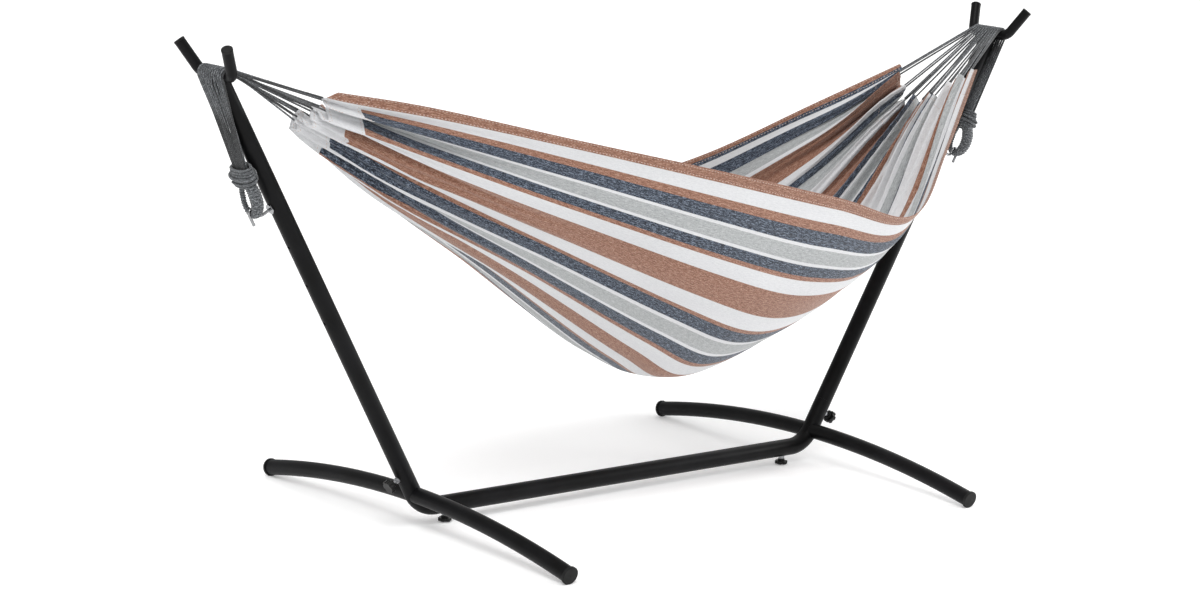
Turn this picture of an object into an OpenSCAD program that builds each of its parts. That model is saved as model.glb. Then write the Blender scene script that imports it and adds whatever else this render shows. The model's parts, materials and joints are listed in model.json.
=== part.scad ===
// Fabric hammock on a knock-down steel stand.
// Frame: X runs along the ground beam, +Y is the far side, +Z is up, Z = 0 is the floor.
// The origin is on the floor under the middle of the stand.

/* [Stand] */
// Distance of each foot axis from the middle of the stand
junction_x = 641; // [560:1:760]
// Height of the foot axis where the feet meet the elbow
junction_z = 78.5; // [74:0.5:90]
// Height of the ground beam's axis
beam_z = 43; // [42:1:50]
// Lean of the uprights away from vertical, in degrees
lean = 30.1; // [26:0.1:34]
// Length of an upright from the foot axis to the yoke bar
upright_len = 1150; // [1000:5:1300]
// Outer diameter of the beam, elbows and uprights
tube_d = 42; // [38:0.5:48]
// Outer diameter of the foot tubes
foot_d = 38; // [32:0.5:40]
// Wall of every steel tube
wall = 1.5; // [1.2:0.1:2]
// Centreline radius of the elbow's bend
elbow_bend_r = 78; // [70:1:90]

/* [Feet] */
// Half of the stand's overall width, from the middle to the outside of a foot cap
foot_reach = 565; // [480:5:650]
// Radius of a foot cap
foot_cap_r = 21.5; // [20:0.5:24]
// Thickness of a foot cap outside the tube
foot_cap_t = 7; // [5:0.5:12]

/* [Yoke] */
// Diameter of the bent yoke bar
yoke_d = 25; // [20:0.5:28]
// Width of the yoke between the corners of its centreline
yoke_w = 117; // [100:1:140]
// Length of a prong from the corner of the centreline
prong_len = 79; // [60:1:100]
// Splay of the prongs, in degrees
prong_splay = 22; // [10:1:30]
// Centreline radius of the yoke's bends
yoke_bend_r = 25; // [22:1:30]

/* [Hardware] */
// Diameter of the knobs' threaded studs
stud_d = 8; // [6:1:10]
// Radius of a star knob
knob_r = 16; // [13:0.5:20]
// Diameter of the hooks' wire
hook_wire_d = 7; // [5:0.5:8]
// Pitch of the hook holes along the upright
hook_pitch = 104; // [80:1:120]
// Distance of the top hook hole along the upright from the foot axis
hook_at = 815; // [780:1:830]

/* [Hammock] */
// Thickness of the cloth's solid
cloth_t = 3; // [2:0.5:5]
// Pairs of suspension cords at each end
cord_pairs = 11; // [8:1:11]
// Diameter of one suspension cord
cord_d = 3.8; // [3:0.1:4.5]
// Diameter of one strand of the bundle that goes over the yoke
strand_d = 5; // [4:0.5:5]

/* [Hidden] */
$fn = 48;
far = 3000;

tube_r = tube_d / 2;
bore_r = tube_r - wall;
slip = 0.1;                       // radial clearance of each plug-in joint
lap = 1;                          // overlap of a straight bar with the bend it continues
bend_swell = 0.15;                // extra radius of a tube through its bend
spigot_r = bore_r - slip;
foot_r = foot_d / 2;
foot_bore_r = foot_r - wall;
foot_spigot_r = foot_bore_r - slip;

bend = 90 - lean;                 // turn of the elbow
elbow_tangent = elbow_bend_r * tan(bend / 2);
corner_up = (junction_z - beam_z) / cos(lean);       // corner of the elbow to the foot axis
corner_x = junction_x - (junction_z - beam_z) * tan(lean);
sleeve = 80;                      // straight end of the elbow that takes a spigot
plug = 60;                        // length of a swaged spigot
elbow_in_x = corner_x - elbow_tangent - sleeve;      // end of the elbow on the beam
elbow_top = elbow_tangent + sleeve - corner_up;      // end of the elbow, along the upright
foot_plug = 80;                   // end of a foot spigot, from the elbow's centre

// A foot is one arc from the elbow's centre, level there, down to the seat of its cap.
// The cap's slope is taken from a first guess, and the arc then fits between the two ends.
cap_guess = 11.8;
cap_lip = 2;                      // bevel around a cap's outer face
cap_flat = 0.8;                   // depth of the flat that the cap rests on
foot_end_y = foot_reach - foot_cap_t * cos(cap_guess) - foot_cap_r * sin(cap_guess);
foot_end_z = foot_cap_r * cos(cap_guess) + (foot_cap_t - cap_lip) * sin(cap_guess) - cap_flat;
foot_tilt = 2 * atan((junction_z - foot_end_z) / foot_end_y);
foot_arc_r = foot_end_y / sin(foot_tilt);

weld_gap = 0.02;                  // a welded piece stops this far from the one it is welded to
seat_gap = 0.3;                   // air between pieces that only lie against each other
foot_cap_skirt = 20;              // how far a cap's plug goes into its foot
foot_cap_edge = 0.6;

yoke_r = yoke_d / 2;
yoke_cap_lip = 0.5;               // a yoke cap stands this far proud of the tube
yoke_cap_bevel = 1.5;
yoke_cap_t = [3, 4.6, 5];         // heights of a yoke cap's side, bevel and top
yoke_cap_skirt = 12;
saddle = 9;                       // an upright stops this far below the middle of its yoke bar
yoke_turn = 90 - prong_splay;
yoke_tangent = yoke_bend_r * tan(yoke_turn / 2);
yoke_x = junction_x + upright_len * sin(lean);
yoke_z = junction_z + upright_len * cos(lean);

stud_slip = 0.08;
nut_t = 6;
nut_r = 8;
nut_sink = 0.9;                   // a weld nut's face lies this far inside the tube's surface
knob_up_at = 58;                  // upright knob, along the upright from the foot axis
knob_beam_x = 545;
knob_neck = 9;                    // stud seen between the weld nut and an upright's knob
knob_neck_low = 2;                // the same under the beam
knob_t = 18;                      // height of an upright's knob
knob_t_low = 12;                  // height of a knob under the beam
knob_hub = 0.55;                  // radius of a knob's hub, as a share of the head's
knob_hub_t = 0.4;                 // height of the hub, as a share of the knob's
knob_scallop = 0.34;              // radius of a scallop, as a share of the head's
knob_scallop_at = 1.18;           // where its middle lies, as a share of the same
knob_bore = 0.7;                  // depth of the bore, as a share of the knob's height
stud_tip = spigot_r + seat_gap;   // the stud stops just off the spigot

hook_hole_r = hook_wire_d / 2 + 0.5;
hook_r = hook_wire_d / 2;
ring_wire_r = 6;                  // half thickness of the cord-wrapped ring
hook_arch_r = ring_wire_r + hook_r + seat_gap;
hook_tail = 16;                   // how far the hook's tail goes in from the tube's surface
hook_tip = 26;                    // straight run below the arch, at the free end
hook_turn_r = 12;
washer_r = 12;
washer_t = 2;
washer_slip = 0.05;
ring_seat = [64, 833];            // ring's lower bar: outboard of the upright's axis, along it
ring_half_w = 17;
ring_straight = 22;
rope_lean = 18.5;                 // lean of the rope bundle away from vertical
whip_h = 40;
whip_w = 46;
whip_t = 26;
whip_base = 2 * ring_half_w + ring_straight + ring_wire_r + seat_gap;

strands = 12;
strand_pitch = 7.2;
cord_pitch = 7.9;                 // between pairs of suspension cords at the yoke
strand_r = strand_d / 2;
strand_row = 4;                   // the strands end in two rows this far from the bundle's middle
strand_column = 7;
strand_arc_r = yoke_r + strand_r + seat_gap;
swing_x = 1199;                   // the moving cords start here, just inboard of the yoke bar
swing_z = 1083;
swing_gap = 6;                    // between the strands over the yoke and the moving cords
fan_dip = 20;                     // slope of the strands where they leave the yoke bar
hang_lean = 24;                   // their lean below the yoke, away from vertical

// Cloth: rows from the left end to the right end. Each row goes from the near hem
// over the near wall, the lowest line and the far wall to the far hem.
BED = [
    [[-993, -100, 1040], [-1012, -70, 990], [-1025, -5, 945], [-960, 50, 945], [-865, 105, 985]],
    [[-780, -185, 1005], [-790, -150, 880], [-780, 0, 785], [-740, 135, 813], [-690, 220, 880]],
    [[-450, -290, 930], [-450, -245, 730], [-430, 15, 580], [-420, 260, 645], [-420, 365, 740]],
    [[-60, -365, 844], [-60, -310, 570], [-70, 15, 338], [-60, 340, 480], [-60, 440, 655]],
    [[300, -385, 761], [250, -300, 485], [150, 15, 275], [230, 350, 440], [260, 435, 665]],
    [[610, -340, 690], [530, -255, 535], [570, 15, 420], [540, 290, 550], [540, 345, 745]],
    [[800, -262, 830], [765, -190, 690], [760, 5, 590], [760, 160, 710], [780, 195, 885]],
    [[985, -180, 1025], [1000, -110, 965], [965, 0, 925], [945, 35, 955], [965, 55, 1005]]
];
rows = len(BED) - 1;
BED_U = 4;                        // steps between two rows
BED_V = 5;                        // steps between two points of a row

// ---------- helpers ----------

// Builds the left side; side 1 mirrors it to the right.
module on_side(side) {
    if (side > 0) mirror([1, 0, 0]) children();
    else children();
}

// Local +Z runs up the left upright from the foot axis, local -X points outboard.
module on_upright() {
    translate([-junction_x, 0, junction_z]) rotate([0, -lean, 0]) children();
}

module tube(r, length, inner) {
    difference() {
        cylinder(r = r, h = length);
        translate([0, 0, -1]) cylinder(r = inner, h = length + 2);
    }
}

// A torus sector in the XZ plane about its centre, from angle a0 through sweep.
module arc_bar(radius, r, a0, sweep, inner = 0) {
    rotate([90, 0, 0]) rotate([0, 0, a0]) rotate_extrude(angle = sweep, $fn = 96)
        translate([radius, 0]) difference() {
            circle(r = r);
            if (inner > 0) circle(r = inner);
        }
}

// Stands children at p with their +Z pointing at q.
module along(p, q) {
    d = q - p;
    yaw = atan2(d.y, d.x);
    pitch = acos(d.z / norm(d));
    translate(p) rotate([0, pitch, yaw]) children();
}

// Catmull-Rom value between b and c at t.
function smooth(a, b, c, d, t) = 0.5 * (2 * b + (c - a) * t
    + (2 * a - 5 * b + 4 * c - d) * t * t + (3 * b - a - 3 * c + d) * t * t * t);

// Value at parameter s along a list of points, running straight on past both ends.
function along_list(list, s) = let (
        last = len(list) - 1,
        i = min(floor(s), last - 1),
        t = s - i,
        b = list[i],
        c = list[i + 1],
        a = i > 0 ? list[i - 1] : 2 * b - c,
        d = i + 2 <= last ? list[i + 2] : 2 * c - b)
    smooth(a, b, c, d, t);

function unit(v) = v / norm(v);

// A round bar swept along points, with its rings square to the path.
module swept(points, r, sides = 8) {
    n = len(points);
    tangent = [for (i = [0 : n - 1])
        unit(points[min(i + 1, n - 1)] - points[max(i - 1, 0)])];
    rings = [for (i = [0 : n - 1]) let (
            across = unit(cross(tangent[i], [0, 1, 0])),
            up = cross(across, tangent[i]))
        for (k = [0 : sides - 1])
            points[i] + r * (cos(360 * k / sides) * across + sin(360 * k / sides) * up)];
    walls = [for (i = [0 : n - 2]) for (k = [0 : sides - 1])
        [i * sides + k, i * sides + (k + 1) % sides,
         (i + 1) * sides + (k + 1) % sides, (i + 1) * sides + k]];
    start = [[for (k = [sides - 1 : -1 : 0]) k]];
    finish = [[for (k = [0 : sides - 1]) (n - 1) * sides + k]];
    polyhedron(rings, concat(start, walls, finish), convexity = 6);
}

// ---------- stand ----------

module centre_beam() {
    color("#1b1b1d") translate([0, 0, beam_z]) difference() {
        rotate([0, 90, 0]) union() {
            translate([0, 0, -elbow_in_x + slip]) cylinder(r = tube_r, h = 2 * (elbow_in_x - slip));
            translate([0, 0, -elbow_in_x - plug]) cylinder(r = spigot_r, h = 2 * (elbow_in_x + plug));
        }
        rotate([0, 90, 0]) cylinder(r = spigot_r - wall, h = far, center = true);
    }
}

// Outer or inner volume of the left elbow.
module elbow_volume(r) {
    translate([-corner_x + elbow_tangent - lap, 0, beam_z]) rotate([0, 90, 0])
        cylinder(r = r, h = sleeve + lap);
    translate([-corner_x + elbow_tangent, 0, beam_z + elbow_bend_r])
        arc_bar(elbow_bend_r, r + bend_swell, 270 - bend, bend);
    on_upright() translate([0, 0, elbow_top - sleeve - lap]) cylinder(r = r, h = sleeve + lap);
}

module elbow(side) {
    color("#1b1b1d") on_side(side) difference() {
        elbow_volume(tube_r);
        elbow_volume(bore_r);
        translate([-corner_x + elbow_tangent + sleeve - 1, 0, beam_z])
            rotate([0, 90, 0]) cylinder(r = bore_r, h = 4);
        on_upright() translate([0, 0, elbow_top - 1]) cylinder(r = bore_r, h = 4);
        on_upright() translate([0, 0, knob_up_at]) rotate([0, -90, 0])
            cylinder(r = stud_d / 2 + 0.2, h = tube_d);
        translate([-knob_beam_x, 0, beam_z - tube_d]) cylinder(r = stud_d / 2 + 0.2, h = tube_d);
    }
}

// Two stubs welded to the elbow's sides, curved like the feet that slide over them.
module foot_spigots(side) {
    color("#1b1b1d") difference() {
        for (end = [-1, 1]) place_foot(side, end)
            foot_arc(foot_spigot_r, foot_plug / foot_arc_r * 180 / PI, foot_spigot_r - wall);
        on_side(side) elbow_volume(tube_r + weld_gap);
    }
}

// Local +X runs out along a foot from the elbow's centre.
module place_foot(side, end) {
    on_side(side) translate([-junction_x, 0, junction_z]) rotate([0, 0, 90 * end]) children();
}

// A bar or tube along a foot's arc, from the elbow's centre through the given turn.
module foot_arc(r, turn, inner) {
    translate([0, 0, -foot_arc_r]) arc_bar(foot_arc_r, r, 90 - turn, turn, inner);
}

module foot(side, end) {
    color("#1b1b1d") difference() {
        place_foot(side, end) foot_arc(foot_r, foot_tilt, foot_bore_r);
        on_side(side) elbow_volume(tube_r + seat_gap);
    }
}

// Local +Z leaves the end of the foot.
module at_foot_end() {
    translate([foot_end_y, 0, foot_end_z - junction_z]) rotate([0, 90 + foot_tilt, 0]) children();
}

module foot_cap(side, end) {
    color("#222224") difference() {
        place_foot(side, end) at_foot_end() union() {
            rotate_extrude(angle = 360) polygon([[0, slip], [foot_cap_r, slip],
                [foot_cap_r, foot_cap_t - cap_lip],
                [foot_cap_r - cap_lip, foot_cap_t - foot_cap_edge], [0, foot_cap_t]]);
            translate([0, 0, -foot_cap_skirt])
                cylinder(r = foot_bore_r - slip, h = foot_cap_skirt + 2 * slip);
        }
        translate([0, 0, -50]) cube([far, far, 100], center = true);
    }
}

// The yoke bar's volume in the upright's frame, with the bar's middle at the origin.
module yoke_volume(r, grow = 0) {
    half = yoke_w / 2 - yoke_tangent;
    rotate([90, 0, 0]) cylinder(r = r, h = 2 * (half + lap), center = true);
    for (end = [0, 1]) mirror([0, end, 0]) {
        translate([0, half, yoke_bend_r]) rotate([0, 0, 90])
            arc_bar(yoke_bend_r, r + bend_swell, 270, yoke_turn);
        translate([0, yoke_w / 2, 0]) rotate([-prong_splay, 0, 0])
            translate([0, 0, yoke_tangent - lap])
                cylinder(r = r, h = prong_len - yoke_tangent + lap + grow);
    }
}

module yoke(side) {
    color("#1b1b1d") on_side(side) on_upright() translate([0, 0, upright_len]) difference() {
        yoke_volume(yoke_r);
        yoke_volume(yoke_r - wall, 2);
    }
}

module yoke_caps(side) {
    color("#222224") on_side(side) on_upright() translate([0, 0, upright_len])
        for (end = [0, 1]) mirror([0, end, 0])
            translate([0, yoke_w / 2, 0]) rotate([-prong_splay, 0, 0]) translate([0, 0, prong_len]) {
                rotate_extrude(angle = 360) polygon([[0, slip], [yoke_r + yoke_cap_lip, slip],
                    [yoke_r + yoke_cap_lip, yoke_cap_t[0]], [yoke_r - yoke_cap_bevel, yoke_cap_t[1]],
                    [0, yoke_cap_t[2]]]);
                translate([0, 0, -yoke_cap_skirt])
                    cylinder(r = yoke_r - wall - slip, h = yoke_cap_skirt + 2 * slip);
            }
}

module upright(side) {
    color("#1b1b1d") on_side(side) on_upright() difference() {
        union() {
            translate([0, 0, elbow_top + slip])
                cylinder(r = tube_r, h = upright_len - saddle - elbow_top - slip);
            translate([0, 0, elbow_top - plug]) cylinder(r = spigot_r, h = plug + 5);
        }
        translate([0, 0, elbow_top - plug - 1]) cylinder(r = spigot_r - wall, h = far);
        translate([0, 0, upright_len]) rotate([90, 0, 0])
            cylinder(r = yoke_r + 0.05, h = far, center = true);
        for (i = [0 : 3]) translate([0, 0, hook_at - i * hook_pitch]) rotate([0, -90, 0])
            cylinder(r = hook_hole_r, h = tube_d);
    }
}

// ---------- hardware ----------

module weld_nut() {
    translate([0, 0, tube_r - nut_sink]) difference() {
        cylinder(r = nut_r, h = nut_t, $fn = 6);
        translate([0, 0, -1]) cylinder(r = stud_d / 2 + stud_slip, h = nut_t + 2);
    }
}

module weld_nuts() {
    color("#b8babd") for (side = [-1, 1]) on_side(side) difference() {
        union() {
            at_upright_knob() weld_nut();
            at_beam_knob() weld_nut();
        }
        elbow_volume(tube_r + weld_gap);
    }
}

// Local +Z leaves the tube's axis through the knob.
module at_upright_knob() {
    on_upright() translate([0, 0, knob_up_at]) rotate([0, -90, 0]) children();
}

module at_beam_knob() {
    translate([-knob_beam_x, 0, beam_z]) rotate([180, 0, 0]) children();
}

// Star knob: hub, scalloped head and a bore for the stud.
module knob(neck, height) {
    seat = tube_r - nut_sink + nut_t + neck;
    hub = height * knob_hub_t;
    lobes = 6;
    color("#151517") difference() {
        translate([0, 0, seat]) union() {
            cylinder(r = knob_r * knob_hub, h = hub + 1);
            translate([0, 0, hub]) difference() {
                cylinder(r = knob_r, h = height - hub);
                for (i = [0 : lobes - 1]) rotate([0, 0, i * 360 / lobes])
                    translate([knob_r * knob_scallop_at, 0, -1])
                        cylinder(r = knob_r * knob_scallop, h = height);
            }
        }
        translate([0, 0, seat - 1])
            cylinder(r = stud_d / 2 + weld_gap, h = height * knob_bore + 1);
    }
}

module stud(neck, height) {
    seat = tube_r - nut_sink + nut_t + neck;
    color("#b8babd") translate([0, 0, stud_tip])
        cylinder(r = stud_d / 2, h = seat + height * knob_bore - slip - stud_tip);
}

// Bent hook: tail in the hole, shank outward, then an arch over the ring and a tip down.
module hook(side) {
    arch_x = -ring_seat[0];
    rise_x = arch_x + hook_arch_r;
    turn_x = rise_x + hook_turn_r;
    turn_z = hook_at + hook_turn_r;
    color("#c9ccd0") on_side(side) on_upright() {
        translate([hook_tail - tube_r, 0, hook_at]) rotate([0, -90, 0])
            cylinder(r = hook_r, h = hook_tail - tube_r - turn_x);
        translate([turn_x, 0, turn_z]) arc_bar(hook_turn_r, hook_r, 180, 90);
        translate([rise_x, 0, turn_z]) cylinder(r = hook_r, h = ring_seat[1] - turn_z);
        translate([arch_x, 0, ring_seat[1]]) arc_bar(hook_arch_r, hook_r, 0, 180);
        translate([arch_x - hook_arch_r, 0, ring_seat[1] - hook_tip]) cylinder(r = hook_r, h = hook_tip);
    }
}

module hook_washer(side) {
    color("#c9ccd0") on_side(side) on_upright()
        translate([-tube_r - seat_gap, 0, hook_at]) rotate([0, -90, 0]) difference() {
            cylinder(r = washer_r, h = washer_t);
            translate([0, 0, -1]) cylinder(r = hook_r + washer_slip, h = washer_t + 2);
        }
}

// ---------- ropes ----------

// Local +Z runs up the rope bundle from the ring's lower bar.
module on_rope() {
    on_upright() translate([-ring_seat[0], 0, ring_seat[1]]) rotate([0, lean - rope_lean, 0]) children();
}

module rope_ring(side) {
    color("#55585c") on_side(side) on_rope() translate([0, 0, ring_half_w]) rotate([0, 0, 90]) {
        arc_bar(ring_half_w, ring_wire_r, 180, 180);
        for (x = [-1, 1]) translate([x * ring_half_w, 0, 0]) cylinder(r = ring_wire_r, h = ring_straight);
        translate([0, 0, ring_straight]) arc_bar(ring_half_w, ring_wire_r, 0, 180);
    }
}

module whipping(side) {
    color("#4c4f53") on_side(side) on_rope() translate([0, 0, whip_base]) linear_extrude(whip_h) union() {
        square([whip_t, whip_w - whip_t], center = true);
        for (y = [-1, 1]) translate([0, y * (whip_w - whip_t) / 2]) circle(d = whip_t);
    }
}

// Unit vector at angle a in the XZ plane.
function spoke(a) = [cos(a), 0, sin(a)];

// A point of the left rope's frame, in the stand's frame.
function rope_point(p) = let (
        px = p.x * cos(rope_lean) - p.z * sin(rope_lean),
        pz = p.x * sin(rope_lean) + p.z * cos(rope_lean),
        seat_x = -junction_x - ring_seat[0] * cos(lean) - ring_seat[1] * sin(lean),
        seat_z = junction_z - ring_seat[0] * sin(lean) + ring_seat[1] * cos(lean))
    [seat_x + px, p.y, seat_z + pz];

// Route of one strand: from the moving cords over the yoke bar, round the rim of the
// upright where that stands proud, and down to the whipping.
function strand_route(i) = let (
        y = (i - (strands - 1) / 2) * strand_pitch,
        column = floor(i / 2) - (strands / 2 - 1) / 2,
        row = (i % 2) * 2 - 1,
        foot = rope_point([row * strand_row, column * strand_column, whip_base + whip_h + 2 * slip]),
        rim_x = sqrt(max(pow(tube_r, 2) - pow(max(abs(y) - strand_r, 0), 2), 0)),
        rim_d = norm([rim_x, saddle]),
        rim_a = 180 + lean + atan2(saddle, rim_x),
        start_a = 90 - fan_dip,
        stop_a = 180 + hang_lean,
        wraps = rim_d * cos(rim_a - stop_a) > yoke_r,
        turn_a = wraps ? rim_a - acos(yoke_r / rim_d) : stop_a,
        yoke_at = [-yoke_x, y, yoke_z],
        over = [for (k = [0 : 6]) yoke_at + strand_arc_r * spoke(start_a + (turn_a - start_a) * k / 6)],
        rim = [for (k = [0 : 2]) yoke_at + rim_d * spoke(rim_a)
            + (strand_arc_r - yoke_r) * spoke(turn_a + (stop_a - turn_a) * k / 2)],
        run = -swing_x - over[0].x)
    concat([over[0] + run * [1, 0, -tan(fan_dip)]], over, wraps ? rim : [], [foot]);

module yoke_ropes(side) {
    color("#5a5d61") on_side(side) for (i = [0 : strands - 1]) swept(strand_route(i), strand_r);
}

// Two cords of each pair run from the yoke to the cloth's end. They lie side by side at
// both ends, one a little above the other at the yoke, so that they never cross.
module bed_cords(side) {
    cloth_gap = 3;
    pair_split = 0.42;            // share of a pair's room that its two cords spread over
    pair_lift = 5;
    end_row = side < 0 ? BED[0] : BED[rows];
    color("#5a5d61") for (i = [0 : cord_pairs - 1]) for (k = [-0.5, 0.5]) {
        s = 4 * (i + 0.5 + k * pair_split) / cord_pairs;
        cloth = along_list(end_row, s);
        rising = along_list(end_row, min(s + 0.1, 4)).z > cloth.z ? 1 : -1;
        y = (i - (cord_pairs - 1) / 2 + k / 2) * cord_pitch;
        anchor = [side * (swing_x - swing_gap), y, swing_z + rising * k * pair_lift];
        stop = cloth + cloth_gap * unit(anchor - cloth);
        along(anchor, stop) cylinder(r = cord_d / 2, h = norm(stop - anchor), $fn = 24);
    }
}

// ---------- cloth ----------

function bed_point(u, v) = along_list([for (row = BED) along_list(row, v)], u);

function bed_normal(u, v) = let (
        e = 0.02,
        du = bed_point(min(u + e, rows), v) - bed_point(max(u - e, 0), v),
        dv = bed_point(u, min(v + e, 4)) - bed_point(u, max(v - e, 0)))
    unit(cross(du, dv));

module bed_fabric() {
    nu = rows * BED_U;
    nv = 4 * BED_V;
    side_of = [-1, 1];
    points = [for (s = side_of) for (i = [0 : nu]) for (j = [0 : nv]) let (u = i / BED_U, v = j / BED_V)
        bed_point(u, v) + s * cloth_t / 2 * bed_normal(u, v)];
    w = nv + 1;
    sheet = (nu + 1) * w;
    lower = [for (i = [0 : nu - 1]) for (j = [0 : nv - 1]) let (a = i * w + j)
        each [[a, a + w + 1, a + 1], [a, a + w, a + w + 1]]];
    upper = [for (f = lower) [f[0] + sheet, f[2] + sheet, f[1] + sheet]];
    rim = concat([for (i = [nu : -1 : 1]) i * w], [for (j = [0 : nv - 1]) j],
        [for (i = [0 : nu - 1]) i * w + nv], [for (j = [nv : -1 : 1]) nu * w + j]);
    edge = [for (k = [0 : len(rim) - 1]) let (a = rim[k], b = rim[(k + 1) % len(rim)])
        each [[a, b + sheet, a + sheet], [a, b, b + sheet]]];
    color("#d8d2cb") polyhedron(points, concat(lower, upper, edge), convexity = 10);
}

centre_beam();
elbow(-1);  // elbow_left
elbow(1);  // elbow_right
foot_spigots(-1);  // foot_spigots_left
foot_spigots(1);  // foot_spigots_right
foot(-1, -1);  // foot_front_left
foot(-1, 1);  // foot_rear_left
foot(1, -1);  // foot_front_right
foot(1, 1);  // foot_rear_right
foot_cap(-1, -1);  // foot_cap_front_left
foot_cap(-1, 1);  // foot_cap_rear_left
foot_cap(1, -1);  // foot_cap_front_right
foot_cap(1, 1);  // foot_cap_rear_right
upright(-1);  // upright_left
upright(1);  // upright_right
yoke(-1);  // yoke_left
yoke(1);  // yoke_right
yoke_caps(-1);  // yoke_caps_left
yoke_caps(1);  // yoke_caps_right
weld_nuts();
on_side(-1) at_upright_knob() knob(knob_neck, knob_t);  // knob_upright_left
on_side(1) at_upright_knob() knob(knob_neck, knob_t);  // knob_upright_right
on_side(-1) at_beam_knob() knob(knob_neck_low, knob_t_low);  // knob_beam_left
on_side(1) at_beam_knob() knob(knob_neck_low, knob_t_low);  // knob_beam_right
on_side(-1) at_upright_knob() stud(knob_neck, knob_t);  // stud_upright_left
on_side(1) at_upright_knob() stud(knob_neck, knob_t);  // stud_upright_right
on_side(-1) at_beam_knob() stud(knob_neck_low, knob_t_low);  // stud_beam_left
on_side(1) at_beam_knob() stud(knob_neck_low, knob_t_low);  // stud_beam_right
hook(-1);  // hook_left
hook(1);  // hook_right
hook_washer(-1);  // hook_washer_left
hook_washer(1);  // hook_washer_right
rope_ring(-1);  // rope_ring_left
rope_ring(1);  // rope_ring_right
whipping(-1);  // whipping_left
whipping(1);  // whipping_right
yoke_ropes(-1);  // yoke_ropes_left
yoke_ropes(1);  // yoke_ropes_right
bed_cords(-1);  // bed_cords_left
bed_cords(1);  // bed_cords_right
bed_fabric();
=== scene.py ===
"""Looks of the hammock on its stand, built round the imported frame. In metres, Z up."""

import json
import math

import bpy
import numpy as np
from mathutils import Matrix, Vector


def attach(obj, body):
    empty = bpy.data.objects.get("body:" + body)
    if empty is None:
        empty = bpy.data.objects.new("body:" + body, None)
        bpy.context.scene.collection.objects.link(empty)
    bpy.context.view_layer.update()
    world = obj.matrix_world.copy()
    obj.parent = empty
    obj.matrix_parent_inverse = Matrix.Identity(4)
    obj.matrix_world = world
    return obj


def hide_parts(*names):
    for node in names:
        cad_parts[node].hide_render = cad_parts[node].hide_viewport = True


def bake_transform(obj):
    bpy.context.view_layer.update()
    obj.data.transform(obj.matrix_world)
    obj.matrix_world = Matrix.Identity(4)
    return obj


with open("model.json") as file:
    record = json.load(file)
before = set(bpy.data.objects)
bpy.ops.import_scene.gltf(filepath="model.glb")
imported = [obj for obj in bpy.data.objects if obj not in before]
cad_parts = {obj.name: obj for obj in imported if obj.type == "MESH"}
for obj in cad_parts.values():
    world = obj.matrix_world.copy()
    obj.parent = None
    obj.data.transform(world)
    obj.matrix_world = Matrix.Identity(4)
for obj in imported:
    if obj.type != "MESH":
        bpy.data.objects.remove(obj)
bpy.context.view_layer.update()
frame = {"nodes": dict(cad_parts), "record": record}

# ---------- camera ----------

EYE = Vector((-5.195, -5.718, 1.967))
AZIMUTH, ELEVATION, ROLL = (math.radians(x) for x in (-41.72, 10.96, 2.86))
LENS_MM = 98.3


def make_camera():
    back = Vector(
        (
            math.sin(AZIMUTH) * math.cos(ELEVATION),
            -math.cos(AZIMUTH) * math.cos(ELEVATION),
            math.sin(ELEVATION),
        )
    )
    level_right = (-back).cross(Vector((0, 0, 1))).normalized()
    level_up = back.cross(level_right)
    right = math.cos(ROLL) * level_right + math.sin(ROLL) * level_up
    up = back.cross(right)
    camera = bpy.data.objects.new("camera", bpy.data.cameras.new("camera"))
    camera.matrix_world = Matrix.Translation(EYE) @ Matrix((right, up, back)).transposed().to_4x4()
    camera.data.lens = LENS_MM
    camera.data.clip_end = 100
    bpy.context.scene.collection.objects.link(camera)
    bpy.context.scene.camera = camera


make_camera()

# ---------- sizes ----------

# These are the CAD's own sizes, but for BED's first row, which lies up to 20 mm higher and
# 13 mm further out than the CAD's.

LEAN = math.radians(30.1)
JUNCTION_X, JUNCTION_Z = 0.641, 0.0785
UPRIGHT_LEN, TUBE_R, SADDLE = 1.150, 0.021, 0.009
YOKE_R = 0.0125
YOKE_X = JUNCTION_X + UPRIGHT_LEN * math.sin(LEAN)
YOKE_Z = JUNCTION_Z + UPRIGHT_LEN * math.cos(LEAN)
RING_SEAT = (0.064, 0.833)
RING_HALF_W, RING_STRAIGHT, RING_R = 0.017, 0.022, 0.006
ROPE_LEAN = math.radians(18.5)
HANG_LEAN = math.radians(24)
WHIP_BASE = 2 * RING_HALF_W + RING_STRAIGHT + RING_R + 0.0003
WHIP_H = 0.040

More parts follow.
